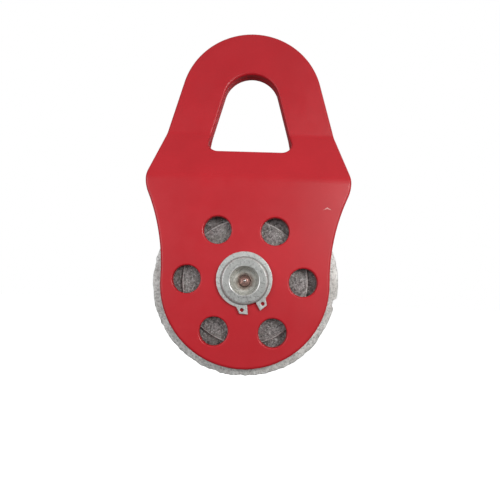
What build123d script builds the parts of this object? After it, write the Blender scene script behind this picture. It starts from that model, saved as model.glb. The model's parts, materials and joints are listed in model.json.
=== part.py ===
from build123d import *
from math import acos, asin, atan2, cos, degrees, hypot, radians, sin, sqrt, tan
import os

# A single sheave snatch block: two pressed steel cheek plates, joggled together at a
# shackle eye, carry a cast sheave on a greased pin that two circlips keep in place.
#
# Frame: the origin is the centre of the sheave. +Z points from the pin to the shackle eye,
# the pin lies along Y, and the end with the grease nipple faces -Y.
# All sizes are in millimetres.

os.makedirs("parts", exist_ok=True)

# ---- driving dimensions --------------------------------------------------------------

# pin and circlip, after the heavy external ring for a 30 mm shaft
pin_diameter = 30.0
pin_chamfer = 1.2
pin_stand_out = 4.5            # from the plate's outer face to the pin's end
groove_diameter = 28.6
groove_width = 2.15
ring_thickness = 2.0
ring_radial_width = 3.55       # on average
ring_eccentricity = 0.85       # the ring is widest opposite its gap
ring_gap_angle = 18.5          # from straight down, towards +X
lug_spread_angle = 21.9        # each lug's hole, either side of the middle of the gap
lug_hole_circle = 18.4
lug_hole_diameter = 2.4
lug_margin = 2.4               # metal around the hole, at the tip and at the outer flank
lug_flank_angle = 30.0         # the outer flank slants in towards the tip
gap_half_angle = 10.9
lug_root_round = 1.5
lug_corner_round = 0.6

# grease recess in the nipple end of the pin
recess_mouth_diameter = 18.2
recess_floor_diameter = 15.0
recess_depth = 11.0
recess_chamfer = 0.5
grease_drill = 3.0
thread_diameter = 6.0
thread_run_out = 1.0
centre_mark_diameter = 1.5     # in the plain end
centre_mark_mouth = 5.0
centre_mark_depth = 3.0
centre_mark_angle = 90.0

# grease nipple
nipple_shank_length = 5.5
nipple_hex_flats = 9.0
nipple_hex_height = 3.0
nipple_neck_diameter = 4.8
nipple_neck_height = 1.6
nipple_head_diameter = 6.8
nipple_head_height = 3.2
nipple_head_flare = 1.0        # height over which the head widens from the neck
nipple_head_band = 0.9         # height of its widest part
nipple_tip_diameter = 3.2
nipple_bore = 2.6
nipple_mouth = 1.4
nipple_seat_depth = 0.8
nipple_lip_height = 0.6
ball_diameter = 2.2
ball_clearance = 0.03
spring_wire = 0.3
spring_turns = 5
spring_mean_radius = 0.9
spring_clearance = 0.1         # between the last coil and the ball

# sheave
sheave_diameter = 121.0
hub_width = 30.0
flange_width = 25.0
hub_disc_diameter = 82.0
groove_radius = 7.0
groove_root_radius = 41.0
groove_flank_angle = 12.0
rim_round = 1.2
disc_round = 0.8
bush_outer_diameter = 36.0
bush_length = 13.0
running_clearance = 0.05       # radial

# thrust washers and the stack along the pin
washer_outer_diameter = 44.0
washer_thickness = 1.5
side_clearance = 0.125
ring_clearance = 0.1

# cheek plates
plate_thickness = 5.0
eye_half_gap = 0.15            # from the middle plane to the inner face at the eye
lower_bend_z = 67.0
upper_bend_z = 101.5
bend_radius = 9.0              # at the middle of the thickness
lobe_radius = 54.3
lobe_centre_z = -1.2
waist_start_z = 3.0            # the sides are straight from the lobe up to here
waist_radius = 132.5
shoulder_z = 63.5
shoulder_round = 24.0
crown_radius = 50.0
crown_centre_z = 127.5
outer_edge_round = 1.8

# shackle eye
eye_crown_radius = 19.5
eye_side_angle = 15.0
eye_bottom_z = 88.1
eye_corner_round = 7.0
eye_edge_round = 1.6
inner_edge_round = 0.5
eye_margin = 8.0               # metal that is surely between the eye and the outline

# lightening holes
hole_diameter = 18.0
hole_circle_radius = 37.25
hole_count = 6
hole_edge_round = 1.0

# ---- sizes worked out from them ------------------------------------------------------

pin_radius = pin_diameter / 2
hub_half = hub_width / 2
washer_inner_y = hub_half + side_clearance
plate_inner_y = washer_inner_y + washer_thickness + side_clearance
plate_outer_y = plate_inner_y + plate_thickness
ring_y = plate_outer_y + ring_clearance
groove_y = ring_y - (groove_width - ring_thickness) / 2
pin_end_y = plate_outer_y + pin_stand_out
recess_floor_y = pin_end_y - recess_depth
bore_radius = pin_radius + running_clearance

plate_mid_y = plate_inner_y + plate_thickness / 2
eye_mid_y = eye_half_gap + plate_thickness / 2
crown_top_z = crown_centre_z + crown_radius
lobe_bottom_z = lobe_centre_z - lobe_radius
plate_margin = 10.0            # how far the bent strip runs past the outline
strip_half_width = 80.0
edge_tolerance = 1.0           # for telling the plate's edges apart
corner_tolerance = 0.1         # for telling the circlip's corners apart


# ---- cheek plates --------------------------------------------------------------------


def cheek_outline():
    """The plate's outline, seen along the pin, with its rounded shoulders."""
    waist_angle = degrees(asin((shoulder_z - waist_start_z) / waist_radius))
    waist_centre = (lobe_radius + waist_radius, waist_start_z)
    with BuildSketch(Plane.XZ) as outline:
        with BuildLine():
            CenterArc((0, lobe_centre_z), lobe_radius, -90, 90)
            Line((lobe_radius, lobe_centre_z), (lobe_radius, waist_start_z))
            waist = CenterArc(waist_centre, waist_radius, 180, -waist_angle)
            shoulder = waist @ 1
            # the straight side leaves the shoulder and is tangent to the crown
            rise = shoulder.Y - crown_centre_z
            reach = hypot(shoulder.X, rise)
            side_angle = degrees(atan2(rise, shoulder.X) + acos(crown_radius / reach))
            tangent_point = (
                crown_radius * cos(radians(side_angle)),
                crown_centre_z + crown_radius * sin(radians(side_angle)),
            )
            Line(shoulder, tangent_point)
            CenterArc((0, crown_centre_z), crown_radius, side_angle, 90 - side_angle)
            mirror(about=Plane.YZ)
        make_face()
        shoulders = outline.vertices().group_by(Axis.X)
        fillet(shoulders[0] + shoulders[-1], radius=shoulder_round)
    return outline


def eye_outline():
    """The D-shaped shackle eye, seen along the pin, with its rounded lower corners."""
    slope = tan(radians(eye_side_angle))
    tangent_point = (
        eye_crown_radius * cos(radians(eye_side_angle)),
        crown_centre_z + eye_crown_radius * sin(radians(eye_side_angle)),
    )
    foot_x = tangent_point[0] + (tangent_point[1] - eye_bottom_z) * slope
    with BuildSketch(Plane.XZ) as eye:
        with BuildLine():
            Line((0, eye_bottom_z), (foot_x, eye_bottom_z))
            Line((foot_x, eye_bottom_z), tangent_point)
            CenterArc((0, crown_centre_z), eye_crown_radius, eye_side_angle, 90 - eye_side_angle)
            mirror(about=Plane.YZ)
        make_face()
        corners = eye.vertices().group_by(Axis.X)
        fillet(corners[0] + corners[-1], radius=eye_corner_round)
    return eye


def cheek_plate(side):
    """Build one joggled cheek plate; side is -1 for the front and +1 for the rear."""
    through = plate_outer_y + plate_margin
    with BuildPart() as plate:
        # the bent strip, seen from the side
        with BuildSketch(Plane.YZ):
            with BuildLine():
                FilletPolyline(
                    (side * plate_mid_y, lobe_bottom_z - plate_margin),
                    (side * plate_mid_y, lower_bend_z),
                    (side * eye_mid_y, upper_bend_z),
                    (side * eye_mid_y, crown_top_z + plate_margin),
                    radius=bend_radius,
                )
            trace(line_width=plate_thickness)
        extrude(amount=strip_half_width, both=True)

        # cut to the outline, then the shackle eye, the pin bore and the lightening holes
        extrude(cheek_outline().sketch, amount=through, both=True, mode=Mode.INTERSECT)
        extrude(eye_outline().sketch, amount=through, both=True, mode=Mode.SUBTRACT)
        with BuildSketch(Plane.XZ):
            Circle(bore_radius)
            with PolarLocations(hole_circle_radius, hole_count):
                Circle(hole_diameter / 2)
        extrude(amount=through, both=True, mode=Mode.SUBTRACT)

        # rounded edges, larger on the outer face of the eye
        for face_side, eye_round, outline_round in (
            (side, eye_edge_round, outer_edge_round),
            (-side, inner_edge_round, inner_edge_round),
        ):
            rim = plate_rim(plate.part, face_side)
            eye_edges = rim.filter_by(in_eye)
            hole_edges = rim.filter_by(in_hole)
            outline_edges = rim.filter_by(lambda edge: not in_eye(edge) and not in_hole(edge))
            fillet(outline_edges, radius=outline_round)
            fillet(eye_edges, radius=eye_round)
            fillet(hole_edges, radius=hole_edge_round)
    return plate


def plate_rim(part, face_side):
    """The edges around the plate's face on one side, and around the holes in that face."""
    seen = {}
    for face in part.faces():
        if face.normal_at(face.center()).Y * face_side > 0.5:
            for edge in face.edges():
                middle = edge @ 0.5
                key = (round(middle.X, 2), round(middle.Y, 2), round(middle.Z, 2))
                seen.setdefault(key, []).append(edge)
    # an edge shared by two of those faces lies across a bend, not on the rim
    return ShapeList(edges[0] for edges in seen.values() if len(edges) == 1)


def in_eye(edge):
    """Whether an edge belongs to the shackle eye."""
    middle = edge @ 0.5
    inside_crown = hypot(middle.X, middle.Z - crown_centre_z) < crown_radius - eye_margin
    above_foot = eye_bottom_z - edge_tolerance < middle.Z < crown_centre_z
    inside_foot = abs(middle.X) < crown_radius - eye_margin and above_foot
    return inside_crown or inside_foot


def in_hole(edge):
    """Whether an edge belongs to the pin bore or to a lightening hole."""
    middle = edge @ 0.5
    return hypot(middle.X, middle.Z) < hole_circle_radius + hole_diameter / 2 + edge_tolerance


front_cheek = cheek_plate(-1)
front_cheek.part.label = "front_cheek_plate"
export_step(front_cheek.part, "parts/front_cheek_plate.step")

rear_cheek = cheek_plate(1)
rear_cheek.part.label = "rear_cheek_plate"
export_step(rear_cheek.part, "parts/rear_cheek_plate.step")


# ---- sheave and its bushes -----------------------------------------------------------

groove_centre_radius = groove_root_radius + groove_radius
flank_start_half = groove_radius * cos(radians(groove_flank_angle))
flank_start_radius = groove_centre_radius - groove_radius * sin(radians(groove_flank_angle))
sheave_radius = sheave_diameter / 2
rim_half = flank_start_half + (sheave_radius - flank_start_radius) * tan(radians(groove_flank_angle))

with BuildPart() as sheave:
    # half section, in a plane that holds the pin's axis: local x is the radius
    with BuildSketch(Plane.XY) as section:
        with BuildLine():
            Polyline(
                (bush_outer_diameter / 2, hub_half),
                (hub_disc_diameter / 2, hub_half),
                (hub_disc_diameter / 2, flange_width / 2),
                (sheave_radius, flange_width / 2),
                (sheave_radius, rim_half),
                (flank_start_radius, flank_start_half),
            )
            ThreePointArc(
                (flank_start_radius, flank_start_half),
                (groove_root_radius, 0),
                (flank_start_radius, -flank_start_half),
            )
            Polyline(
                (flank_start_radius, -flank_start_half),
                (sheave_radius, -rim_half),
                (sheave_radius, -flange_width / 2),
                (hub_disc_diameter / 2, -flange_width / 2),
                (hub_disc_diameter / 2, -hub_half),
                (bush_outer_diameter / 2, -hub_half),
                (bush_outer_diameter / 2, hub_half),
            )
        make_face()
        corners = section.vertices().group_by(Axis.X)
        fillet(corners[-1], radius=rim_round)
        disc_corners = section.vertices().filter_by_position(
            Axis.X, hub_disc_diameter / 2 - disc_round, hub_disc_diameter / 2 + disc_round
        )
        fillet(disc_corners.group_by(Axis.Y)[0] + disc_corners.group_by(Axis.Y)[-1], radius=disc_round)
    revolve(axis=Axis.Y)
sheave.part.label = "sheave"
export_step(sheave.part, "parts/sheave.step")

for name, side in (("sheave_bush_front", -1), ("sheave_bush_rear", 1)):
    with BuildPart() as bush:
        with BuildSketch(Plane.XZ.offset(-side * (hub_half - bush_length))):
            Circle(bush_outer_diameter / 2)
            Circle(bore_radius, mode=Mode.SUBTRACT)
        extrude(amount=-side * bush_length)
    bush.part.label = name
    export_step(bush.part, f"parts/{name}.step")

for name, side in (("front_thrust_washer", -1), ("rear_thrust_washer", 1)):
    with BuildPart() as washer:
        with BuildSketch(Plane.XZ.offset(-side * washer_inner_y)):
            Circle(washer_outer_diameter / 2)
            Circle(bore_radius, mode=Mode.SUBTRACT)
        extrude(amount=-side * washer_thickness)
    washer.part.label = name
    export_step(washer.part, f"parts/{name}.step")


# ---- pin -----------------------------------------------------------------------------

with BuildPart() as axle_pin:
    with BuildSketch(Plane.XZ):
        Circle(pin_radius)
    extrude(amount=pin_end_y, both=True)
    chamfer(axle_pin.edges().filter_by(GeomType.CIRCLE), length=pin_chamfer)

    # a groove for a circlip at each end
    for side in (-1, 1):
        with BuildSketch(Plane.XZ.offset(-side * groove_y)):
            Circle(pin_radius)
            Circle(groove_diameter / 2, mode=Mode.SUBTRACT)
        extrude(amount=-side * groove_width, mode=Mode.SUBTRACT)

    # tapered recess for the nipple, then its threaded hole and the grease drillings
    with BuildSketch(Plane.XY):
        with BuildLine():
            Polyline(
                (0, -pin_end_y),
                (recess_mouth_diameter / 2 + recess_chamfer, -pin_end_y),
                (recess_mouth_diameter / 2, -pin_end_y + recess_chamfer),
                (recess_floor_diameter / 2, -recess_floor_y),
                (0, -recess_floor_y),
                (0, -pin_end_y),
            )
        make_face()
    revolve(axis=Axis.Y, mode=Mode.SUBTRACT)
    with BuildSketch(Plane.XZ.offset(recess_floor_y)):
        Circle(thread_diameter / 2)
    extrude(amount=-nipple_shank_length - thread_run_out, mode=Mode.SUBTRACT)
    with BuildSketch(Plane.XZ.offset(recess_floor_y)):
        Circle(grease_drill / 2)
    extrude(amount=-recess_floor_y, mode=Mode.SUBTRACT)
    with BuildSketch(Plane.YZ):
        Circle(grease_drill / 2)
    extrude(amount=pin_radius, both=True, mode=Mode.SUBTRACT)

    # centre mark from turning, in the plain end
    with Locations(Location((0, pin_end_y, 0), (-90, 0, 0))):
        CounterSinkHole(
            centre_mark_diameter / 2,
            centre_mark_mouth / 2,
            depth=centre_mark_depth,
            counter_sink_angle=centre_mark_angle,
        )
axle_pin.part.label = "axle_pin"
export_step(axle_pin.part, "parts/axle_pin.step")


# ---- circlips ------------------------------------------------------------------------

ring_outer_radius = groove_diameter / 2 + ring_radial_width
lug_reach = lug_hole_circle + lug_margin


def lug_outline(hand):
    """A lug's corners, with the gap straight down; hand is -1 or +1 for the side of the gap."""
    angle = radians(-90 + hand * lug_spread_angle)
    outward = Vector(cos(angle), sin(angle))
    from_gap = Vector(-sin(angle), cos(angle)) * hand
    slope = tan(radians(lug_flank_angle))
    flank_at_hole = lug_margin / cos(radians(lug_flank_angle))
    root = groove_diameter / 2
    # the side towards the gap runs past it, and the gap is cut afterwards
    gap_side = -lug_reach * tan(radians(lug_spread_angle - gap_half_angle)) - lug_margin
    corners = (
        (root, flank_at_hole + (lug_hole_circle - root) * slope),
        (lug_reach, flank_at_hole - lug_margin * slope),
        (lug_reach, gap_side),
        (root, gap_side),
    )
    return [outward * out + from_gap * aside for out, aside in corners]


def gap_point(hand):
    """A point well outside the ring along one edge of the gap."""
    angle = radians(-90 + hand * gap_half_angle)
    reach = lug_reach + lug_hole_circle
    return reach * cos(angle), reach * sin(angle)


def is_lug_corner(vertex):
    """Whether a vertex is an outer corner of a lug."""
    return hypot(vertex.X, vertex.Z) > lug_reach - corner_tolerance


def is_lug_root(vertex):
    """Whether a vertex is where a lug's outer flank leaves the ring."""
    from_ring = abs(hypot(vertex.X, vertex.Z - ring_eccentricity) - ring_outer_radius)
    side_angle = abs(degrees(atan2(vertex.X, -vertex.Z)))
    return from_ring < corner_tolerance and side_angle > lug_spread_angle


def circlip(side):
    """Build one external ring; side is -1 for the front and +1 for the rear."""
    inner_radius = groove_diameter / 2 + running_clearance
    with BuildPart() as ring:
        with BuildSketch(Plane.XZ.offset(-side * ring_y)) as face:
            # drawn with the gap straight down, then turned to its place
            with Locations((0, ring_eccentricity)):
                Circle(ring_outer_radius)
            for hand in (-1, 1):
                with BuildLine():
                    Polyline(*lug_outline(hand), close=True)
                make_face()
            with BuildLine():
                Polyline((0, 0), gap_point(-1), gap_point(1), (0, 0))
            make_face(mode=Mode.SUBTRACT)
            fillet(face.vertices().filter_by(is_lug_root), radius=lug_root_round)
            fillet(face.vertices().filter_by(is_lug_corner), radius=lug_corner_round)
            Circle(inner_radius, mode=Mode.SUBTRACT)
            for angle in (-90 - lug_spread_angle, -90 + lug_spread_angle):
                with PolarLocations(lug_hole_circle, 1, start_angle=angle):
                    Circle(lug_hole_diameter / 2, mode=Mode.SUBTRACT)
        extrude(amount=-side * ring_thickness)
    return ring


for name, side in (("front_circlip", -1), ("rear_circlip", 1)):
    ring = circlip(side)
    placed = ring.part.rotate(Axis.Y, -ring_gap_angle)
    placed.label = name
    export_step(placed, f"parts/{name}.step")


# ---- grease nipple -------------------------------------------------------------------

seat_y = -recess_floor_y
hex_top_y = seat_y - nipple_hex_height
neck_top_y = hex_top_y - nipple_neck_height
tip_y = neck_top_y - nipple_head_height
shank_end_y = seat_y + nipple_shank_length
# the ball touches the conical seat where the cone's normal passes through its centre
seat_cone_angle = atan2((nipple_bore - nipple_mouth) / 2, nipple_seat_depth)
ball_radius = ball_diameter / 2
ball_y = (
    tip_y
    - nipple_mouth / 2 / tan(seat_cone_angle)
    + (ball_radius + ball_clearance) / sin(seat_cone_angle)
)
lip_y = shank_end_y - nipple_lip_height
spring_start_y = lip_y - spring_wire / 2
# the last coil rests behind the ball
wire_from_ball = sqrt((ball_radius + spring_wire / 2) ** 2 - spring_mean_radius**2)
spring_end_y = ball_y + wire_from_ball + spring_clearance

with BuildPart() as nipple:
    with BuildSketch(Plane.XY):
        with BuildLine():
            Polyline(
                (0, shank_end_y),
                (thread_diameter / 2 - running_clearance, shank_end_y),
                (thread_diameter / 2 - running_clearance, seat_y),
                (nipple_neck_diameter / 2, seat_y),
                (nipple_neck_diameter / 2, neck_top_y),
                (nipple_head_diameter / 2, neck_top_y - nipple_head_flare),
                (nipple_head_diameter / 2, neck_top_y - nipple_head_flare - nipple_head_band),
                (nipple_tip_diameter / 2, tip_y),
                (0, tip_y),
                (0, shank_end_y),
            )
        make_face()
    revolve(axis=Axis.Y)
    with BuildSketch(Plane.XZ.offset(-seat_y)):
        RegularPolygon(nipple_hex_flats / 2, 6, major_radius=False)
    extrude(amount=nipple_hex_height)
    # the passage: narrow mouth, conical seat, bore, and the staked lip that holds the spring
    with BuildSketch(Plane.XY):
        with BuildLine():
            Polyline(
                (0, tip_y),
                (nipple_mouth / 2, tip_y),
                (nipple_bore / 2, tip_y + nipple_seat_depth),
                (nipple_bore / 2, lip_y),
                (nipple_mouth / 2, lip_y),
                (nipple_mouth / 2, shank_end_y),
                (0, shank_end_y),
                (0, tip_y),
            )
        make_face()
    revolve(axis=Axis.Y, mode=Mode.SUBTRACT)
nipple.part.label = "grease_nipple_body"
export_step(nipple.part, "parts/grease_nipple_body.step")

with BuildPart(Plane.XZ.offset(-ball_y)) as ball:
    Sphere(ball_radius)
ball.part.label = "grease_nipple_ball"
export_step(ball.part, "parts/grease_nipple_ball.step")

spring_height = spring_start_y - spring_end_y
with BuildPart() as spring:
    with BuildLine() as coil:
        Helix(
            pitch=spring_height / spring_turns,
            height=spring_height,
            radius=spring_mean_radius,
            center=(0, spring_start_y, 0),
            direction=(0, -1, 0),
        )
    with BuildSketch(Plane(origin=coil.line @ 0, z_dir=coil.line % 0)):
        Circle(spring_wire / 2)
    sweep(path=coil.line, is_frenet=True)
spring.part.label = "grease_nipple_spring"
export_step(spring.part, "parts/grease_nipple_spring.step")
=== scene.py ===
import json
import math

import bmesh
import bpy
from mathutils import Matrix, Vector, noise


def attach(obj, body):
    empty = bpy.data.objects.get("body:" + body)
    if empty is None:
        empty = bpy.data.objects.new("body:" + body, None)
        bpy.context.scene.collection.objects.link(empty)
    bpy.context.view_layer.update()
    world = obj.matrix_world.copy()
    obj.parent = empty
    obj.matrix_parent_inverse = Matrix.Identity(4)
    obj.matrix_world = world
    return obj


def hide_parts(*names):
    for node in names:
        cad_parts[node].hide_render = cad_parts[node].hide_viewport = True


# A swing-cheek snatch block: red powder-coated cheek plates, a galvanised cast sheave, and a
# zinc-plated pin with a copper-brown grease nipple. All lengths are in metres. The pin lies
# along Y with its nipple facing -Y, and the shackle eye is towards +Z.

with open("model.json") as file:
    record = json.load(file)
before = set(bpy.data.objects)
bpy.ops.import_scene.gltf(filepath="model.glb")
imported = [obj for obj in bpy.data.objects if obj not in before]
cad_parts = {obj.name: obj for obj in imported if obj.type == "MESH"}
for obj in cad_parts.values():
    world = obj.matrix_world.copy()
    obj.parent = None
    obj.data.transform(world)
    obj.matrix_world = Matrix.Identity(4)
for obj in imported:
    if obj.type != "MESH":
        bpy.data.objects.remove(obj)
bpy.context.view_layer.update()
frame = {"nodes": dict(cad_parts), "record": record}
nodes = frame["nodes"]
scene = bpy.context.scene

MM = 0.001

# sheave
SHEAVE_RADIUS = 60.5 * MM
HUB_HALF = 15 * MM
FLANGE_HALF = 12.5 * MM
DISC_RADIUS = 41 * MM
BUSH_RADIUS = 18 * MM
GROOVE_CENTRE = 48 * MM
GROOVE_RADIUS = 7 * MM
FLANK_ANGLE = math.radians(12)

# pin, with a groove for each circlip and a tapered recess in its front end
PIN_RADIUS = 15 * MM
PIN_END = 26.25 * MM
END_CHAMFER = 1.2 * MM
RING_GROOVE = (21.775 * MM, 23.925 * MM)
RING_GROOVE_RADIUS = 14.3 * MM
MARK_RADIUS = 0.75 * MM
MARK_CONE = 1.75 * MM
MARK_DEPTH = 3 * MM
MOUTH_RADIUS = 9.25 * MM
MOUTH_BEVEL = 0.4 * MM
RECESS_FLOOR = 15.25 * MM
RECESS_FLOOR_RADIUS = 7.5 * MM
NIPPLE_HOLE_RADIUS = 3 * MM
NIPPLE_HOLE_DEPTH = 6.5 * MM

# grease nipple
HEX_HALF = 4.5 * MM
HEX_TOP = -RECESS_FLOOR - 3 * MM
NECK_TOP = HEX_TOP - 1.6 * MM
TIP = NECK_TOP - 3.2 * MM
NIPPLE_FOOT = -RECESS_FLOOR + 5.5 * MM
THREAD_RADIUS = 2.95 * MM
COLLAR_RADIUS = 4.35 * MM
NECK_RADIUS = 2.4 * MM
HEAD_RADIUS = 3.4 * MM
NIPPLE_BORE = 1.3 * MM
LIP_RADIUS = 0.7 * MM

# a lathe outline stays this far off the axis
NEAR_AXIS = 0.01 * MM

PLATE_METALLIC = 0.35
FLOOR_Z = -0.2


# ---- node graphs -----------------------------------------------------------------------


class Graph:
    """A material's node tree with short calls for the nodes used here."""

    def __init__(self, name, roughness, metallic):
        self.material = bpy.data.materials.new(name)
        self.material.use_nodes = True
        self.tree = self.material.node_tree
        self.shader = self.tree.nodes["Principled BSDF"]
        self.shader.inputs["Roughness"].default_value = roughness
        self.shader.inputs["Metallic"].default_value = metallic
        self.place = self.tree.nodes.new("ShaderNodeTexCoord").outputs["Object"]

    def node(self, kind, **inputs):
        made = self.tree.nodes.new("ShaderNode" + kind)
        for key, value in inputs.items():
            self.feed(made.inputs[key.replace("_", " ")], value)
        return made

    def feed(self, socket, value):
        if isinstance(value, bpy.types.NodeSocket):
            self.tree.links.new(value, socket)
        else:
            socket.default_value = value

    def set(self, name, value):
        self.feed(self.shader.inputs[name], value)

    def math(self, operation, first, second=0.0, third=0.0):
        made = self.tree.nodes.new("ShaderNodeMath")
        made.operation = operation
        for socket, value in zip(made.inputs, (first, second, third)):
            self.feed(socket, value)
        return made.outputs[0]

    def times(self, first, second):
        return self.math("MULTIPLY", first, second)

    def noise(self, size, detail=2.0, roughness=0.5, distortion=0.0, where=None):
        """Noise from 0 to 1 whose features are about size metres across."""
        made = self.node("TexNoise", Vector=where or self.place, Scale=1 / size, Detail=detail,
                         Roughness=roughness, Distortion=distortion)
        return made.outputs["Fac"]

    def cells(self, size):
        """The distance to the nearest of random points about size metres apart."""
        return self.node("TexVoronoi", Vector=self.place, Scale=1 / size).outputs["Distance"]

    def ramp(self, value, low, high, out_low=0.0, out_high=1.0):
        """Value, smoothly mapped from low..high to out_low..out_high."""
        made = self.tree.nodes.new("ShaderNodeMapRange")
        made.interpolation_type = "SMOOTHSTEP"
        for key, number in (("Value", value), ("From Min", low), ("From Max", high),
                            ("To Min", out_low), ("To Max", out_high)):
            self.feed(made.inputs[key], number)
        return made.outputs["Result"]

    def band(self, value, middle, near, far):
        """1 where value is within near of middle, falling to 0 where it is far from it."""
        away = self.math("ABSOLUTE", self.math("SUBTRACT", value, middle))
        return self.ramp(away, near, far, 1.0, 0.0)

    def mix(self, share, first, second):
        """A colour between first and second."""
        made = self.tree.nodes.new("ShaderNodeMix")
        made.data_type = "RGBA"
        self.feed(made.inputs[0], share)
        for socket, value in ((made.inputs[6], first), (made.inputs[7], second)):
            if isinstance(value, tuple):
                value = (*value, 1.0)
            self.feed(socket, value)
        return made.outputs[2]

    def paint(self, base, coat, mask, share):
        """base with coat over it where mask is 1, covering it by share."""
        return self.mix(self.times(mask, share), base, coat)

    def axes(self):
        """The object-space x, y and z."""
        split = self.node("SeparateXYZ", Vector=self.place)
        return split.outputs["X"], split.outputs["Y"], split.outputs["Z"]

    def radius(self):
        """The distance from the pin's axis."""
        x, _, z = self.axes()
        flat = self.node("CombineXYZ", X=x, Z=z)
        length = self.node("VectorMath")
        length.operation = "LENGTH"
        self.tree.links.new(flat.outputs[0], length.inputs[0])
        return length.outputs["Value"]

    def turning_marks(self, spacing):
        """A wave from -1 to 1 in rings around the pin's axis."""
        return self.math("SINE", self.times(self.radius(), 2 * math.pi / spacing))

    def bump(self, height, depth, strength=1.0, under=None):
        """A normal bumped by height (0 to 1), depth metres high, over another bump."""
        made = self.node("Bump", Height=height, Strength=strength, Distance=depth)
        if under is not None:
            self.tree.links.new(under, made.inputs["Normal"])
        return made.outputs["Normal"]


# ---- materials -------------------------------------------------------------------------


def bare_chips(g, nicks):
    """A mask of small chips, each two short strokes that meet in a peak at (x, z)."""
    x, _, z = g.axes()
    chips = None
    for nick_x, nick_z, size in nicks:
        across = g.math("ABSOLUTE", g.math("SUBTRACT", x, nick_x))
        along = g.math("SUBTRACT", z, nick_z)
        stroke = g.math("ABSOLUTE", g.math("ADD", along, g.times(across, 0.5)))
        ragged = g.times(g.noise(0.7 * MM, 2.0), size * 0.5)
        near = g.math("ADD", g.math("ADD", stroke, g.times(across, 0.22)), ragged)
        chip = g.ramp(near, size * 0.42, size * 0.6, 1.0, 0.0)
        chips = chip if chips is None else g.math("MAXIMUM", chips, chip)
    return chips


def powder_coat(name, nicks):
    """Satin red powder coat with orange peel; nicks are small bare chips (x, z, size)."""
    g = Graph(name, roughness=0.4, metallic=0.0)
    cloud = g.ramp(g.noise(35 * MM, 3.0, 0.55), 0.35, 0.68)
    fine = g.ramp(g.noise(1.6 * MM, 2.0, 0.6), 0.3, 0.7)
    dust = g.ramp(g.noise(5.2 * MM, 5.0, 0.7, 0.6), 0.62, 0.8)
    chips = bare_chips(g, nicks)
    red = g.mix(cloud, (0.44, 0.0095, 0.017), (0.475, 0.011, 0.0195))
    red = g.paint(red, (0.38, 0.005, 0.011), fine, 0.14)
    red = g.paint(red, (0.75, 0.3, 0.28), dust, 0.05)
    g.set("Base Color", g.paint(red, (0.72, 0.5, 0.47), chips, 0.6))
    g.set("Roughness", g.ramp(g.noise(11 * MM, 4.0, 0.6), 0.25, 0.75, 0.34, 0.46))
    g.set("Specular IOR Level", 0.42)
    peel = g.bump(g.noise(1.9 * MM, 1.0, 0.4), 0.03 * MM, 0.6)
    wave = g.bump(g.noise(20 * MM, 1.0, 0.3), 0.12 * MM, 0.35, under=peel)
    g.set("Normal", g.bump(chips, -0.08 * MM, 0.8, under=wave))
    return g.material


def cast_galvanised(name):
    """Rough casting under dull galvanising: pebbly and speckled, with a light rim."""
    g = Graph(name, roughness=0.62, metallic=0.25)
    radius = g.radius()
    _, y, _ = g.axes()
    grit = g.noise(1.3 * MM, 3.0, 0.7, 0.4)
    pebble = g.noise(3 * MM, 2.0, 0.55, 0.4)
    patch = g.noise(11 * MM, 4.0, 0.6, 0.5)
    grey = g.mix(g.ramp(grit, 0.38, 0.6), (0.055, 0.05, 0.049), (0.275, 0.26, 0.256))
    grey = g.mix(g.ramp(pebble, 0.38, 0.62, 0.0, 0.5), grey, (0.2, 0.178, 0.178))
    grey = g.mix(g.ramp(patch, 0.42, 0.66, 0.0, 0.45), grey, (0.15, 0.15, 0.13))
    # light flecks where the zinc is bright, dark pits in the hollows
    shifted = g.node("Mapping", Vector=g.place, Location=(0.31, 0.12, 0.05)).outputs[0]
    fleck = g.ramp(g.noise(1.1 * MM, 1.0, 0.5, 0.8, shifted), 0.6, 0.68)
    grey = g.paint(grey, (0.47, 0.46, 0.45), fleck, 0.75)
    pit = g.ramp(g.cells(3.4 * MM), 0.0, 0.2, 1.0, 0.0)
    grey = g.paint(grey, (0.035, 0.033, 0.03), pit, 0.75)
    # the outer part of the flanges and the rim are lighter
    rim = g.ramp(radius, 51.5 * MM, 54.5 * MM)
    zinc = g.mix(g.ramp(patch, 0.38, 0.6), (0.84, 0.845, 0.82), (0.66, 0.655, 0.63))
    zinc = g.mix(g.ramp(grit, 0.36, 0.56, 0.6, 0.0), zinc, (0.3, 0.295, 0.28))
    zinc = g.paint(zinc, (0.12, 0.115, 0.1), pit, 0.5)
    grey = g.paint(grey, zinc, rim, 0.9)
    # painted highlight: the corner of the hub disc is painted bright, standing in for the light its
    # edge catches
    disc_edge_highlight = g.band(radius, DISC_RADIUS - 0.25 * MM, 0.2 * MM, 0.7 * MM)
    proud = g.ramp(g.math("ABSOLUTE", y), HUB_HALF - 1.2 * MM, HUB_HALF - 0.4 * MM)
    disc_edge_highlight = g.times(g.times(disc_edge_highlight, proud), g.ramp(grit, 0.3, 0.55, 0.35, 1.0))
    g.set("Base Color", g.paint(grey, (0.62, 0.61, 0.59), disc_edge_highlight, 0.85))
    g.set("Roughness", g.ramp(grit, 0.3, 0.7, 0.7, 0.5))
    rough = g.bump(grit, 0.22 * MM, 0.9)
    rough = g.bump(pebble, 0.4 * MM, 0.8, under=rough)
    g.set("Normal", g.bump(pit, -0.3 * MM, 0.7, under=rough))
    return g.material


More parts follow.
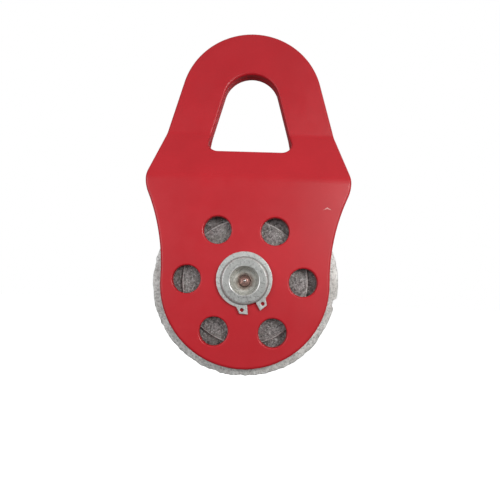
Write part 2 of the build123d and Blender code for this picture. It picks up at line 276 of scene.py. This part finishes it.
def front_end_marks_and_painted_light(g, colour, dark_patch_share):
    """The pin's colour with dark patches, brown grease, painted light in the recess and painted
    highlights on the front end's edges, which are also more metallic.
    """
    radius = g.radius()
    _, y, z = g.axes()
    # dark patches, heaviest towards the bottom, on the side away from the eye
    dark_patches = g.ramp(g.noise(3.4 * MM, 5.0, 0.7, 1.2), 0.47, 0.62)
    dark_patches = g.times(dark_patches, g.ramp(z, 1 * MM, -12.5 * MM))
    colour = g.paint(colour, (0.2, 0.185, 0.19), dark_patches, dark_patch_share)
    # painted light: the recess is painted much lighter than the end face, standing in for light on
    # its walls; brown grease around the nipple
    front_half = g.ramp(y, -10 * MM, -9 * MM, 1.0, 0.0)
    recess_painted_light = g.times(g.ramp(y, -PIN_END + 0.15 * MM, -PIN_END + 0.75 * MM),
                     g.ramp(radius, MOUTH_RADIUS - 0.05 * MM, MOUTH_RADIUS + 0.35 * MM, 1.0, 0.0))
    colour = g.paint(colour, (0.74, 0.76, 0.715), g.times(recess_painted_light, front_half), 0.85)
    deep = g.times(g.ramp(y, -RECESS_FLOOR - 6.25 * MM, -RECESS_FLOOR - 1.25 * MM),
                   g.ramp(radius, HEX_HALF, RECESS_FLOOR_RADIUS + 0.3 * MM, 1.0, 0.0))
    patchy = g.ramp(g.noise(3 * MM, 3.0, 0.6), 0.3, 0.6, 0.45, 0.95)
    colour = g.mix(g.times(g.times(deep, front_half), patchy), colour, (0.4, 0.31, 0.26))
    # painted highlights: the edges of the recess and of the end face are painted bright, standing
    # in for the light they catch
    mouth_highlight = g.band(radius, MOUTH_RADIUS + MOUTH_BEVEL / 2, 0.1 * MM, 0.3 * MM)
    end_edge_highlight = g.band(radius, PIN_RADIUS - END_CHAMFER + 0.25 * MM, 0.15 * MM, 0.4 * MM)
    edge_highlight = g.math("MAXIMUM", mouth_highlight, end_edge_highlight)
    g.set("Metallic", g.ramp(edge_highlight, 0.0, 1.0, PLATE_METALLIC, 0.6))
    return g.paint(colour, (0.84, 0.85, 0.83), edge_highlight, 0.6)


def plated(name, low, high, roughness, turned=None, dark_patch_share=0.0, pin_gap_shade=False):
    """Dull zinc plate between the colours low and high.

    turned is the spacing of turning marks around the pin's axis. dark_patch_share is how much dark
    patches cover the pin's front end, which also gets its painted light and painted highlights.
    pin_gap_shade paints a dark line of shade around the pin, where the ring meets it.
    """
    g = Graph(name, roughness=roughness, metallic=PLATE_METALLIC)
    cloud = g.ramp(g.noise(6 * MM, 5.0, 0.65, 0.4), 0.35, 0.68)
    speck = g.ramp(g.noise(0.9 * MM, 3.0, 0.7), 0.56, 0.74)
    colour = g.mix(cloud, low, high)
    colour = g.paint(colour, tuple(0.55 * channel for channel in low), speck, 0.3)
    if dark_patch_share:
        colour = front_end_marks_and_painted_light(g, colour, dark_patch_share)
    # painted shade: a dark line on the circlip around the pin, standing in for the shade where the
    # ring meets the pin
    if pin_gap_shade:
        line = g.ramp(g.radius(), PIN_RADIUS + 0.1 * MM, PIN_RADIUS + 0.7 * MM, 0.8, 0.0)
        colour = g.mix(line, colour, (0.11, 0.11, 0.1))
    g.set("Base Color", colour)
    uneven = g.noise(2.2 * MM, 4.0, 0.6)
    g.set("Roughness", g.ramp(uneven, 0.3, 0.7, roughness - 0.07, roughness + 0.1))
    normal = g.bump(g.noise(0.6 * MM, 3.0, 0.6), 0.02 * MM, 0.5)
    if turned:
        marks = g.times(g.turning_marks(turned), g.noise(4 * MM, 2.0))
        normal = g.bump(marks, 0.006 * MM, 0.55, under=normal)
    g.set("Normal", normal)
    return g.material


def tarnished_copper(name):
    """Copper-brown plate, blotched, with painted shade on the hexagon under the nipple's head."""
    g = Graph(name, roughness=0.32, metallic=0.9)
    _, y, _ = g.axes()
    blotch = g.ramp(g.noise(1.6 * MM, 4.0, 0.6, 0.6), 0.36, 0.66)
    colour = g.mix(blotch, (0.46, 0.27, 0.235), (0.34, 0.2, 0.175))
    dirt = g.ramp(g.noise(0.8 * MM, 3.0, 0.6), 0.56, 0.72)
    colour = g.paint(colour, (0.14, 0.085, 0.07), dirt, 0.35)
    # painted shade: the hexagon is painted dark beside the neck, in the shade under the head, and
    # paler outside it
    low = g.ramp(y, HEX_TOP - 1.5 * MM, HEX_TOP - 0.6 * MM)
    outside = g.ramp(g.radius(), HEAD_RADIUS + 0.2 * MM, HEAD_RADIUS + 1 * MM)
    neck_shade_and_hex_colour = g.mix(outside, (0.06, 0.04, 0.03), (0.5, 0.39, 0.345))
    g.set("Base Color", g.paint(colour, neck_shade_and_hex_colour, low, 0.9))
    g.set("Roughness", g.ramp(blotch, 0.0, 1.0, 0.26, 0.45))
    g.set("Normal", g.bump(g.noise(0.7 * MM, 3.0, 0.6), 0.02 * MM, 0.6))
    return g.material


def bronze(name):
    g = Graph(name, roughness=0.38, metallic=1.0)
    cloud = g.ramp(g.noise(4 * MM, 4.0, 0.6), 0.35, 0.65)
    colour = g.mix(cloud, (0.56, 0.36, 0.16), (0.66, 0.46, 0.22))
    stain = g.ramp(g.noise(0.8 * MM, 2.0), 0.6, 0.75, 0.0, 0.5)
    g.set("Base Color", g.mix(stain, colour, (0.2, 0.13, 0.06)))
    g.set("Roughness", g.ramp(cloud, 0.0, 1.0, 0.32, 0.48))
    g.set("Normal", g.bump(g.turning_marks(0.4 * MM), 0.005 * MM, 0.5))
    return g.material


def bright_steel(name):
    g = Graph(name, roughness=0.16, metallic=1.0)
    film = g.ramp(g.noise(0.9 * MM, 3.0, 0.6), 0.4, 0.7)
    g.set("Base Color", g.mix(film, (0.66, 0.66, 0.66), (0.5, 0.44, 0.38)))
    g.set("Roughness", g.ramp(film, 0.0, 1.0, 0.12, 0.3))
    g.set("Normal", g.bump(g.noise(0.4 * MM, 2.0), 0.004 * MM, 0.4))
    return g.material


def pale_floor(name):
    g = Graph(name, roughness=0.85, metallic=0.0)
    g.set("Base Color", g.mix(g.noise(80 * MM, 4.0), (0.93, 0.93, 0.93), (0.96, 0.96, 0.96)))
    g.set("Emission Color", (1.0, 1.0, 1.0, 1.0))
    g.set("Emission Strength", 0.8)
    return g.material


# ---- making and placing objects ----------------------------------------------------------


def dress(obj, material):
    """Give a piece one material."""
    obj.data.materials.clear()
    obj.data.materials.append(material)


def show(name, mesh, material):
    """A new object in the scene."""
    obj = bpy.data.objects.new(name, mesh)
    scene.collection.objects.link(obj)
    dress(obj, material)
    return obj


def show_smooth(name, made, material):
    """A new smooth-shaded object in the scene, from a bmesh."""
    bmesh.ops.recalc_face_normals(made, faces=made.faces)
    mesh = bpy.data.meshes.new(name)
    made.to_mesh(mesh)
    made.free()
    mesh.shade_smooth()
    return show(name, mesh, material)


def stand_in(obj, node):
    """obj is shown in place of a CAD node and moves with that node's body."""
    bodies = frame["record"]["behaviour"]["bodies"]
    body = next(name for name, members in bodies.items() if node in members)
    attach(obj, body)
    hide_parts(node)


# ---- turned and cast shapes --------------------------------------------------------------


def rounded(corners, step):
    """A closed outline through corners (radius, y, rounding), sampled about every step."""
    points = []
    count = len(corners)
    for i in range(count):
        here = Vector(corners[i][:2])
        back = Vector(corners[i - 1][:2]) - here
        ahead = Vector(corners[(i + 1) % count][:2]) - here
        size = corners[i][2]
        if size == 0:
            points.append(here)
            continue
        half = back.angle(ahead) / 2
        reach = size / math.tan(half)
        inward = (back.normalized() + ahead.normalized()).normalized()
        centre = here + inward * (size / math.sin(half))
        first = here + back.normalized() * reach - centre
        last = here + ahead.normalized() * reach - centre
        sweep = first.angle(last)
        turns = max(3, round(sweep * size / step))
        for k in range(turns + 1):
            arm = first.slerp(last, k / turns) if sweep > 0.001 else first
            points.append(centre + arm.normalized() * size)
    filled = []
    for i, point in enumerate(points):
        following = points[(i + 1) % len(points)]
        pieces = max(1, round((following - point).length / step))
        for k in range(pieces):
            filled.append(point.lerp(following, k / pieces))
    return filled


def lathe(name, outline, segments, material, push=None):
    """Turn a closed outline of (radius, y) around the Y axis. push moves each point."""
    made = bmesh.new()
    rings = []
    for k in range(segments):
        angle = 2 * math.pi * k / segments
        ring = []
        for point in outline:
            place = Vector((point[0] * math.cos(angle), point[1], point[0] * math.sin(angle)))
            ring.append(made.verts.new(push(place) if push else place))
        rings.append(ring)
    size = len(outline)
    for k in range(segments):
        this, following = rings[k], rings[(k + 1) % segments]
        for i in range(size):
            j = (i + 1) % size
            made.faces.new((this[i], this[j], following[j], following[i]))
    bmesh.ops.remove_doubles(made, verts=made.verts, dist=1e-7)
    return show_smooth(name, made, material)


def sheave_outline(step):
    """The turned shape of the casting, with flanks tangent to the round groove."""
    flank_radius = GROOVE_CENTRE - GROOVE_RADIUS * math.sin(FLANK_ANGLE)
    flank_half = GROOVE_RADIUS * math.cos(FLANK_ANGLE)
    rim_half = flank_half + (SHEAVE_RADIUS - flank_radius) * math.tan(FLANK_ANGLE)
    half = [
        (BUSH_RADIUS, HUB_HALF, 0.4 * MM),
        (DISC_RADIUS, HUB_HALF, 0.8 * MM),
        (DISC_RADIUS, FLANGE_HALF, 0.6 * MM),
        (SHEAVE_RADIUS, FLANGE_HALF, 1.2 * MM),
        (SHEAVE_RADIUS, rim_half, 1.2 * MM),
        (flank_radius, flank_half, 0),
    ]
    groove = []
    groove_steps = 22
    start = math.pi / 2 + FLANK_ANGLE
    for k in range(1, groove_steps):
        angle = start + (math.pi - 2 * FLANK_ANGLE) * k / groove_steps
        groove.append((GROOVE_CENTRE + GROOVE_RADIUS * math.cos(angle),
                       GROOVE_RADIUS * math.sin(angle), 0))
    other_half = [(radius, -y, rounding) for radius, y, rounding in reversed(half)]
    return rounded(half + groove + other_half, step)


def smooth(value, low, high):
    t = min(1.0, max(0.0, (value - low) / (high - low)))
    return t * t * (3 - 2 * t)


def lumps(place, size, squash=1.0, offset=(0, 0, 0)):
    """Noise from -1 to 1 with lumps about size across; squash below 1 draws them out along Y."""
    return noise.noise(Vector((place.x, place.y * squash, place.z)) / size + Vector(offset))


def swelling(angle, direction, height, start, full):
    """Height at a direction in degrees; start and full are cosines of the angle away from it."""
    return height * smooth(math.cos(angle - math.radians(direction)), start, full)


# the rim is roughest, and a little oversize, on this side
ROUGH_SIDE = math.radians(228)
SIDE_SWELL = 0.55
# where else it bulges, and its one notch: direction in degrees, height in mm, start and full
BULGES = ((7, 0.8, 0.88, 0.99), (303, 0.65, 0.9, 0.99), (244, 0.75, 0.97, 0.998))
NOTCH = (348, 1.9, 0.9985, 0.9997)
# heights in mm of the rim's teeth, chunks and chips, and of the lumps all over
TOOTH, CHUNK, CHIP = 0.7, 0.45, 1.0
COARSE_LUMP, FINE_LUMP = 0.10, 0.07


def rough_casting(place):
    """Where a point of the sheave ends up: lumps all over, a ragged and slightly oversize rim."""
    radius = math.hypot(place.x, place.z)
    outward = Vector((place.x / radius, 0, place.z / radius))
    angle = math.atan2(place.z, place.x)
    # the bore stays true, and the groove is worn smoother
    outside_bore = smooth(radius, BUSH_RADIUS + 0.3 * MM, BUSH_RADIUS + 2.5 * MM)
    in_groove = 1 - smooth(abs(place.y), 7.0 * MM, 9.5 * MM)
    rim = smooth(radius, SHEAVE_RADIUS - 3 * MM, SHEAVE_RADIUS - 0.5 * MM)
    lump = lumps(place, 3.4 * MM) * COARSE_LUMP + lumps(place, 1.5 * MM) * FINE_LUMP
    lump = lump * outside_bore * (1 - 0.5 * in_groove)
    side = 0.5 + 0.5 * math.cos(angle - ROUGH_SIDE)
    ragged = 0.35 + 0.65 * smooth(side, 0.35, 0.95)
    tooth = lumps(place, 2.7 * MM, 0.35)
    chunk = lumps(place, 7.5 * MM, 0.35, (5, 1, 3))
    chip = max(0.0, lumps(place, 1.9 * MM, 0.2, (9, 4, 2)) - 0.25)
    bulge = max(swelling(angle, *each) for each in BULGES)
    swell = max(SIDE_SWELL * smooth(side, 0.45, 1.0), bulge) - swelling(angle, *NOTCH)
    move = (TOOTH * tooth + CHUNK * chunk - CHIP * chip) * ragged * rim * MM + swell * rim * MM
    flange = smooth(abs(place.y), 9.5 * MM, 12 * MM)
    sideways = Vector((0, math.copysign(1, place.y), 0)) * flange
    return place + outward * (move + lump * rim * MM) + sideways * (lump * MM)


casting = cast_galvanised("cast_sheave_zinc")
sheave = lathe("sheave_casting", sheave_outline(0.85 * MM), 460, casting, rough_casting)
stand_in(sheave, "sheave")

# pin: a centre mark in the rear end, both circlip grooves, chamfered ends, and the recess
pin_outline = rounded([
    (NEAR_AXIS, PIN_END - MARK_DEPTH, 0),
    (MARK_RADIUS, PIN_END - MARK_DEPTH, 0),
    (MARK_RADIUS, PIN_END - MARK_CONE, 0),
    (MARK_RADIUS + MARK_CONE, PIN_END, 0.15 * MM),
    (PIN_RADIUS - END_CHAMFER, PIN_END, 0.35 * MM),
    (PIN_RADIUS, PIN_END - END_CHAMFER, 0.35 * MM),
    (PIN_RADIUS, RING_GROOVE[1], 0.08 * MM),
    (RING_GROOVE_RADIUS, RING_GROOVE[1], 0),
    (RING_GROOVE_RADIUS, RING_GROOVE[0], 0),
    (PIN_RADIUS, RING_GROOVE[0], 0.08 * MM),
    (PIN_RADIUS, -RING_GROOVE[0], 0.08 * MM),
    (RING_GROOVE_RADIUS, -RING_GROOVE[0], 0),
    (RING_GROOVE_RADIUS, -RING_GROOVE[1], 0),
    (PIN_RADIUS, -RING_GROOVE[1], 0.08 * MM),
    (PIN_RADIUS, -PIN_END + END_CHAMFER, 0.5 * MM),
    (PIN_RADIUS - END_CHAMFER, -PIN_END, 0.9 * MM),
    (MOUTH_RADIUS + MOUTH_BEVEL, -PIN_END, 0.12 * MM),
    (MOUTH_RADIUS, -PIN_END + 0.17 * MM, 0.15 * MM),
    (RECESS_FLOOR_RADIUS, -RECESS_FLOOR, 0.9 * MM),
    (NIPPLE_HOLE_RADIUS, -RECESS_FLOOR, 0),
    (NIPPLE_HOLE_RADIUS, -RECESS_FLOOR + NIPPLE_HOLE_DEPTH, 0),
    (NEAR_AXIS, -RECESS_FLOOR + NIPPLE_HOLE_DEPTH, 0),
], 0.5 * MM)
zinc_pin = plated("zinc_pin_plate", (0.36, 0.368, 0.356), (0.45, 0.458, 0.446), 0.3,
                  turned=0.45 * MM, dark_patch_share=0.75)
pin = lathe("axle_pin_turned", pin_outline, 160, zinc_pin)
stand_in(pin, "axle_pin")

# grease nipple: one turned part, from its thread to its head, and a hexagon around it
copper = tarnished_copper("nipple_tarnished_copper")
nipple_outline = rounded([
    (THREAD_RADIUS, NIPPLE_FOOT, 0.2 * MM),
    (THREAD_RADIUS, -RECESS_FLOOR - 1.5 * MM, 0),
    (COLLAR_RADIUS, -RECESS_FLOOR - 1.5 * MM, 0),
    (COLLAR_RADIUS, -RECESS_FLOOR - 3.25 * MM, 0.3 * MM),
    (NECK_RADIUS, NECK_TOP + 1.35 * MM, 0.3 * MM),
    (NECK_RADIUS, NECK_TOP, 0.3 * MM),
    (HEAD_RADIUS, NECK_TOP - 1.0 * MM, 0.5 * MM),
    (HEAD_RADIUS, NECK_TOP - 1.9 * MM, 0.7 * MM),
    (1.9 * MM, TIP, 0.9 * MM),
    (1.0 * MM, TIP, 0.12 * MM),
    (LIP_RADIUS, TIP + 0.25 * MM, 0.1 * MM),
    (NIPPLE_BORE, TIP + 0.8 * MM, 0),
    (NIPPLE_BORE, NIPPLE_FOOT - 0.6 * MM, 0),
    (LIP_RADIUS, NIPPLE_FOOT - 0.6 * MM, 0),
    (LIP_RADIUS, NIPPLE_FOOT, 0),
], 0.15 * MM)
nipple = lathe("grease_nipple_turned", nipple_outline, 72, copper)


def hexagon(name, half, bottom, top, bevel, material):
    """A hexagon nut body on the pin's axis, with its corners turned off."""
    made = bmesh.new()
    loops = []
    for y, shrink in ((bottom, 0.0), (top + bevel, 0.0), (top, bevel)):
        ring = []
        for k in range(6):
            angle = math.radians(60 * k + 30)
            reach = (half - shrink) / math.cos(math.radians(30))
            ring.append(made.verts.new((reach * math.cos(angle), y, reach * math.sin(angle))))
        loops.append(ring)
    for low, high in zip(loops, loops[1:]):
        for k in range(6):
            made.faces.new((low[k], low[(k + 1) % 6], high[(k + 1) % 6], high[k]))
    made.faces.new(loops[0])
    made.faces.new(loops[-1])
    bmesh.ops.bevel(made, geom=made.edges[:], offset=0.12 * MM, segments=2, affect="EDGES",
                    profile=0.5)
    return show_smooth(name, made, material)


nut = hexagon("grease_nipple_hexagon", HEX_HALF, -RECESS_FLOOR, HEX_TOP, 0.4 * MM, copper)
stand_in(nipple, "grease_nipple_body")
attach(nut, "axle")


def broken_edges(name, node, width, material):
    """A copy of a flat CAD piece with its sharp edges rounded."""
    mesh = nodes[node].data.copy()
    mesh.name = name
    made = bmesh.new()
    made.from_mesh(mesh)
    bmesh.ops.remove_doubles(made, verts=made.verts, dist=1e-6)
    bmesh.ops.dissolve_limit(made, angle_limit=math.radians(0.5), verts=made.verts,
                             edges=made.edges)
    # only the edges around the two flat faces
    rims = []
    for edge in made.edges:
        sharp = edge.is_manifold and edge.calc_face_angle() > math.radians(50)
        if sharp and any(abs(face.normal.y) > 0.9 for face in edge.link_faces):
            rims.append(edge)
    bmesh.ops.bevel(made, geom=rims, offset=width, segments=3, affect="EDGES", profile=0.5)
    bmesh.ops.triangulate(made, faces=[face for face in made.faces if len(face.verts) > 4])
    for face in made.faces:
        face.smooth = True
    made.to_mesh(mesh)
    made.free()
    if "custom_normal" in mesh.attributes:
        mesh.attributes.remove(mesh.attributes["custom_normal"])
    mesh.set_sharp_from_angle(angle=math.radians(40))
    return show(name, mesh, material)


# circlips: the stamped rings with their edges broken
ring_plate = plated("circlip_zinc_plate", (0.47, 0.478, 0.465), (0.57, 0.578, 0.565), 0.3,
                    pin_gap_shade=True)
for end in ("front", "rear"):
    ring = broken_edges(f"{end}_circlip_stamped", f"{end}_circlip", 0.28 * MM, ring_plate)
    stand_in(ring, f"{end}_circlip")

# the CAD pieces that keep their shape get their finish
FRONT_NICKS = [(51.8 * MM, 48.6 * MM, 2.1 * MM)]
REAR_NICKS = [(-31 * MM, 84 * MM, 1.3 * MM), (12 * MM, -47 * MM, 1.1 * MM)]
bush_bronze = bronze("bush_bronze_turned")
washer_zinc = plated("washer_zinc_plate", (0.46, 0.46, 0.45), (0.58, 0.58, 0.57), 0.45,
                     turned=0.5 * MM)
steel = bright_steel("ball_polished_steel")
for node, material in (
    ("front_cheek_plate", powder_coat("front_powder_coat", FRONT_NICKS)),
    ("rear_cheek_plate", powder_coat("rear_powder_coat", REAR_NICKS)),
    ("sheave_bush_front", bush_bronze),
    ("sheave_bush_rear", bush_bronze),
    ("front_thrust_washer", washer_zinc),
    ("rear_thrust_washer", washer_zinc),
    ("grease_nipple_ball", steel),
    ("grease_nipple_spring", steel),
):
    dress(nodes[node], material)


# ---- stage -------------------------------------------------------------------------------


def floor():
    made = bmesh.new()
    bmesh.ops.create_grid(made, x_segments=8, y_segments=8, size=6)
    mesh = bpy.data.meshes.new("floor")
    made.to_mesh(mesh)
    made.free()
    obj = show("floor", mesh, pale_floor("pale_floor"))
    obj.location = (0, 0, FLOOR_Z)
    # the part isn't lit by the floor, so that its lower faces keep their shade
    obj.visible_diffuse = False
    obj.visible_glossy = False


floor()


def place_light(name, data, place, target, power, glossy):
    """Hang a light at place, shining towards target; glossy if it shows in reflections."""
    data.energy = power
    away = (Vector(place) - Vector(target)).normalized()
    obj = bpy.data.objects.new(name, data)
    obj.matrix_world = Matrix.Translation(place) @ away.to_track_quat("Z", "Y").to_matrix().to_4x4()
    obj.visible_glossy = glossy
    scene.collection.objects.link(obj)


def area_light(name, place, target, size, power, colour, glossy):
    data = bpy.data.lights.new(name, "AREA")
    data.shape = "DISK"
    data.size = size
    data.color = colour
    place_light(name, data, place, target, power, glossy)


def spot_light(name, place, target, cone, power, size):
    """A soft spot, cone degrees wide, that makes no highlight of its own."""
    data = bpy.data.lights.new(name, "SPOT")
    data.spot_size = math.radians(cone)
    data.spot_blend = 1.0
    data.shadow_soft_size = size
    place_light(name, data, place, target, power, False)


MIDDLE = (0, -0.02, 0.035)
HUB = (-0.012, -0.02, 0.03)
area_light("key_light", (0.31, -0.48, 0.16), MIDDLE, 0.16, 1.7, (1.0, 0.99, 0.97), True)
area_light("fill_light", (-0.40, -0.42, 0.10), MIDDLE, 0.36, 1.15, (0.97, 0.98, 1.0), True)
spot_light("front_light", (0.0, -0.62, 0.05), HUB, 27, 2.6, 0.06)
area_light("rear_light", (0.25, 0.5, 0.35), MIDDLE, 0.4, 2.0, (1.0, 0.99, 0.98), False)

# the room: bright to the upper right, dim to the lower left, and white behind the part
BRIGHT_SIDE = (0.62, -0.3, 0.72)
DIM, BRIGHT = 0.10, 0.48

world = bpy.data.worlds.new("studio")
scene.world = world
world.use_nodes = True
sky = world.node_tree
way = sky.nodes.new("ShaderNodeTexCoord").outputs["Generated"]
lean = sky.nodes.new("ShaderNodeVectorMath")
lean.operation = "DOT_PRODUCT"
lean.inputs[1].default_value = Vector(BRIGHT_SIDE).normalized()
sky.links.new(way, lean.inputs[0])
level = sky.nodes.new("ShaderNodeMapRange")
level.interpolation_type = "SMOOTHSTEP"
for key, number in (("From Min", -0.7), ("From Max", 0.9), ("To Min", DIM), ("To Max", BRIGHT)):
    level.inputs[key].default_value = number
sky.links.new(lean.outputs["Value"], level.inputs["Value"])
ambient = sky.nodes["Background"]
sky.links.new(level.outputs["Result"], ambient.inputs["Strength"])
backdrop = sky.nodes.new("ShaderNodeBackground")
for shade in (ambient, backdrop):
    shade.inputs["Color"].default_value = (1.0, 1.0, 1.0, 1.0)
seen = sky.nodes.new("ShaderNodeLightPath")
choose = sky.nodes.new("ShaderNodeMixShader")
sky.links.new(seen.outputs["Is Camera Ray"], choose.inputs[0])
sky.links.new(ambient.outputs[0], choose.inputs[1])
sky.links.new(backdrop.outputs[0], choose.inputs[2])
sky.links.new(choose.outputs[0], sky.nodes["World Output"].inputs["Surface"])

scene.view_settings.view_transform = "Standard"
scene.view_settings.look = "None"
scene.view_settings.exposure = 0.0
scene.view_settings.gamma = 1.0


# ---- camera ------------------------------------------------------------------------------

CAMERA_PLACE = (0.00696, -0.28722, -0.00584)
PITCH, YAW, ROLL = math.radians(5.524), math.radians(-0.907), math.radians(1.935)
LENS = 29.97
SENSOR_WIDTH = 36

ahead = Vector((math.sin(YAW) * math.cos(PITCH), math.cos(YAW) * math.cos(PITCH), math.sin(PITCH)))
across = Vector((math.cos(YAW), -math.sin(YAW), 0))
upright = across.cross(ahead)
right = across * math.cos(ROLL) + upright * math.sin(ROLL)
up = upright * math.cos(ROLL) - across * math.sin(ROLL)
facing = Matrix((right, up, -ahead)).transposed().to_4x4()
camera_data = bpy.data.cameras.new("camera")
camera_data.lens = LENS
camera_data.sensor_width = SENSOR_WIDTH
camera_data.clip_start = 0.01
camera = bpy.data.objects.new("camera", camera_data)
camera.matrix_world = Matrix.Translation(CAMERA_PLACE) @ facing
scene.collection.objects.link(camera)
scene.camera = camera
